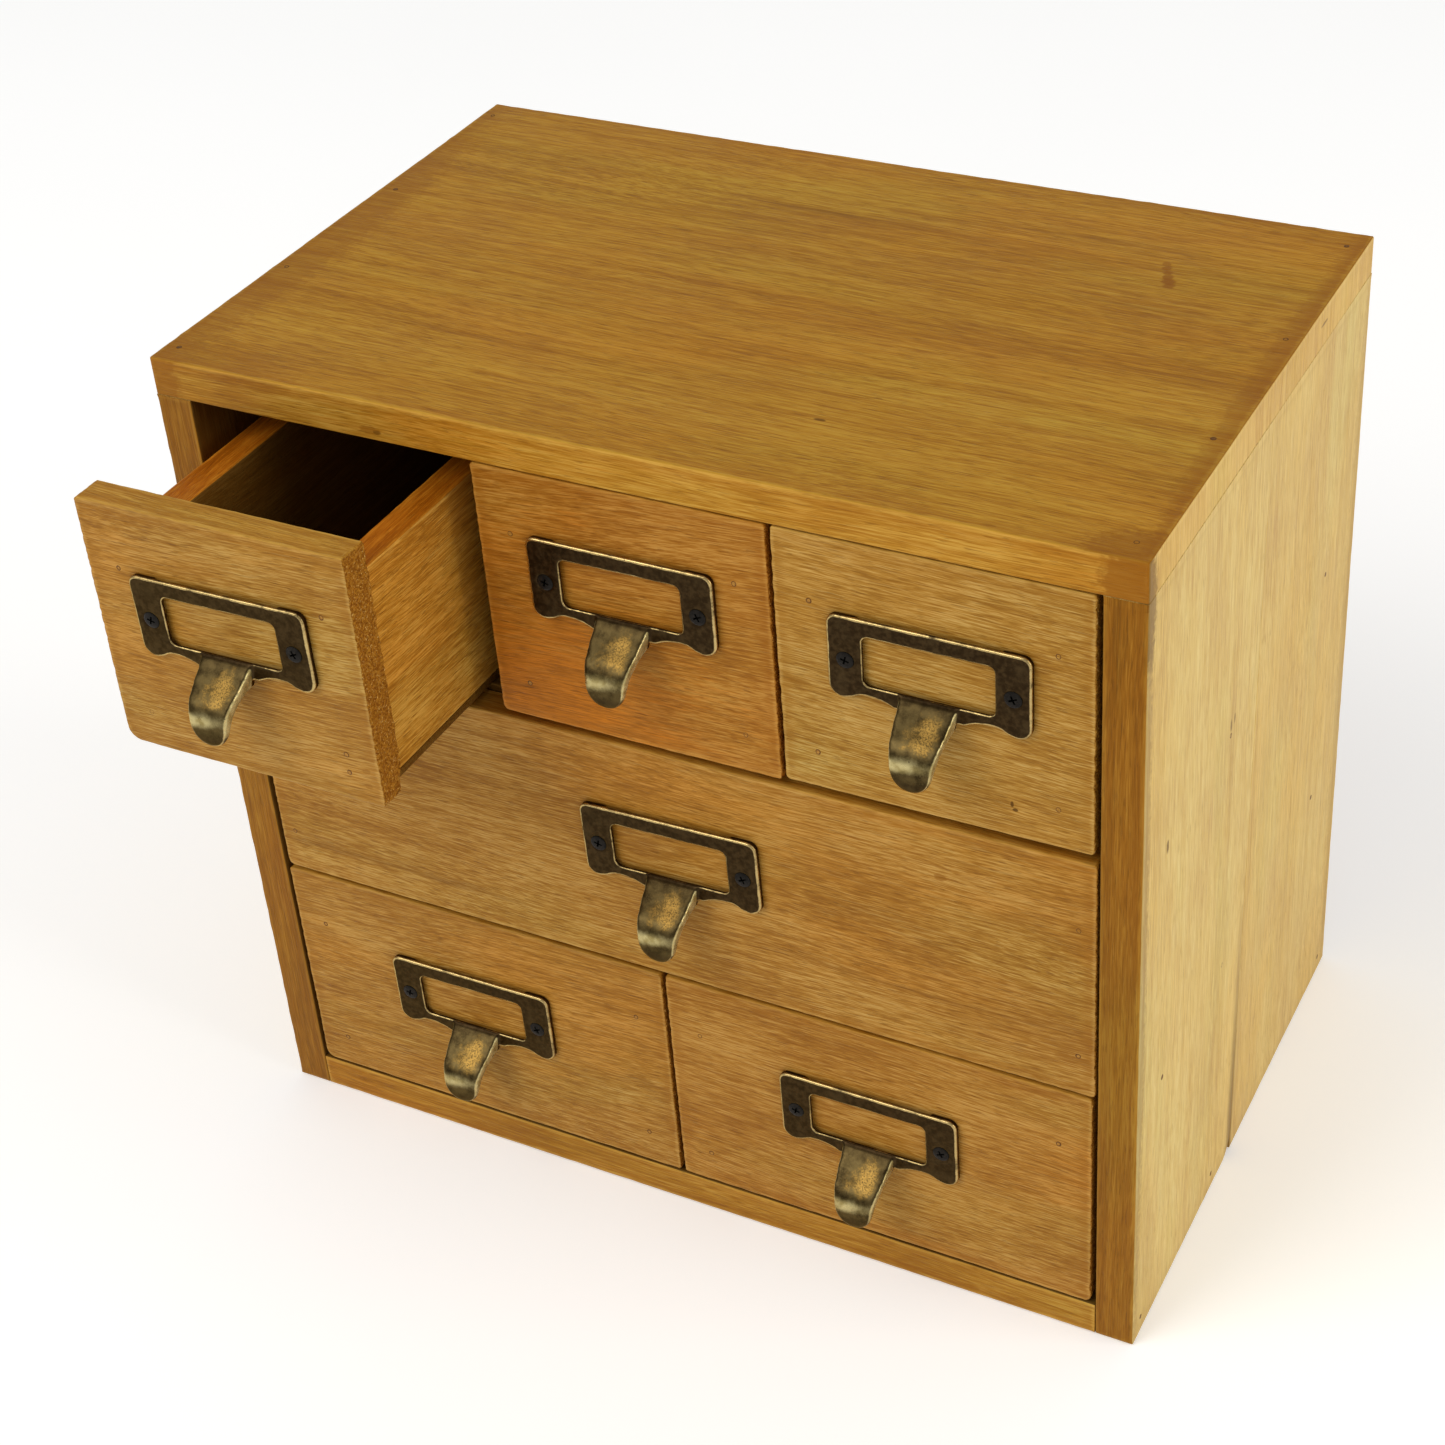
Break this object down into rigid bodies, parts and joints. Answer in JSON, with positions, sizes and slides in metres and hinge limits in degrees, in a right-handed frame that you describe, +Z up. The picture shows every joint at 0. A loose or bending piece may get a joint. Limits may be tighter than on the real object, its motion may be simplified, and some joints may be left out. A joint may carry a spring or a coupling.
{
  "type": "desktop drawer chest",
  "caption": "Desktop chest of wooden drawers: small ones in the top row, one wide below, a pair at the bottom, each with a cast label-holder pull.",
  "frame": {"origin": "centre of the carcass footprint, on the surface it stands on", "axes": "+X to the right seen from the drawer fronts, +Y to the back, +Z up; drawers pull out along -Y"},
  "size_m": [0.3, 0.2599, 0.276],
  "materials": {
    "carcass_wood": "honey stain, thin satin lacquer",
    "front_wood": "honey stain, raised fibres",
    "drawer_wood": "stained, unlacquered",
    "shelf_wood": "stained, unlacquered",
    "drawer_ply": "plywood",
    "back_ply": "plywood",
    "antique_brass": "darkened brass, worn bright on edges",
    "black_screw": "black oxide",
    "brad_steel": "stained over"
  },
  "bodies": {
    "cabinet": {"top_board": "carcass_wood", "bottom_board": "carcass_wood", "left_side_board": "carcass_wood", "right_side_front_board": "carcass_wood", "right_side_back_board": "carcass_wood", "back_panel": "back_ply", "upper_shelf": "shelf_wood", "lower_shelf": "shelf_wood", "upper_left_divider": "shelf_wood", "upper_right_divider": "shelf_wood", "lower_divider": "shelf_wood", "carcass_brads": "brad_steel"},
    "top_left_drawer": {"top_left_front": "front_wood", "top_left_left_side": "drawer_wood", "top_left_right_side": "drawer_wood", "top_left_back": "drawer_wood", "top_left_bottom": "drawer_ply", "top_left_label_pull": "antique_brass", "top_left_pull_screws": "black_screw", "top_left_front_brads": "brad_steel"},
    "top_middle_drawer": {"top_middle_front": "front_wood", "top_middle_left_side": "drawer_wood", "top_middle_right_side": "drawer_wood", "top_middle_back": "drawer_wood", "top_middle_bottom": "drawer_ply", "top_middle_label_pull": "antique_brass", "top_middle_pull_screws": "black_screw", "top_middle_front_brads": "brad_steel"},
    "top_right_drawer": {"top_right_front": "front_wood", "top_right_left_side": "drawer_wood", "top_right_right_side": "drawer_wood", "top_right_back": "drawer_wood", "top_right_bottom": "drawer_ply", "top_right_label_pull": "antique_brass", "top_right_pull_screws": "black_screw", "top_right_front_brads": "brad_steel"},
    "wide_drawer": {"wide_front": "front_wood", "wide_left_side": "drawer_wood", "wide_right_side": "drawer_wood", "wide_back": "drawer_wood", "wide_bottom": "drawer_ply", "wide_label_pull": "antique_brass", "wide_pull_screws": "black_screw", "wide_front_brads": "brad_steel"},
    "bottom_left_drawer": {"bottom_left_front": "front_wood", "bottom_left_left_side": "drawer_wood", "bottom_left_right_side": "drawer_wood", "bottom_left_back": "drawer_wood", "bottom_left_bottom": "drawer_ply", "bottom_left_label_pull": "antique_brass", "bottom_left_pull_screws": "black_screw", "bottom_left_front_brads": "brad_steel"},
    "bottom_right_drawer": {"bottom_right_front": "front_wood", "bottom_right_left_side": "drawer_wood", "bottom_right_right_side": "drawer_wood", "bottom_right_back": "drawer_wood", "bottom_right_bottom": "drawer_ply", "bottom_right_label_pull": "antique_brass", "bottom_right_pull_screws": "black_screw", "bottom_right_front_brads": "brad_steel"}
  },
  "joints": [
    {"name": "top_left_slide", "type": "slide", "parent": "cabinet", "child": "top_left_drawer", "axis": [0, -1, 0], "range_m": [-0.0545, 0.0955]},
    {"name": "top_middle_slide", "type": "slide", "parent": "cabinet", "child": "top_middle_drawer", "axis": [0, -1, 0], "range_m": [0, 0.15]},
    {"name": "top_right_slide", "type": "slide", "parent": "cabinet", "child": "top_right_drawer", "axis": [0, -1, 0], "range_m": [0, 0.15]},
    {"name": "wide_slide", "type": "slide", "parent": "cabinet", "child": "wide_drawer", "axis": [0, -1, 0], "range_m": [0, 0.15]},
    {"name": "bottom_left_slide", "type": "slide", "parent": "cabinet", "child": "bottom_left_drawer", "axis": [0, -1, 0], "range_m": [0, 0.15]},
    {"name": "bottom_right_slide", "type": "slide", "parent": "cabinet", "child": "bottom_right_drawer", "axis": [0, -1, 0], "range_m": [0, 0.15]}
  ]
}
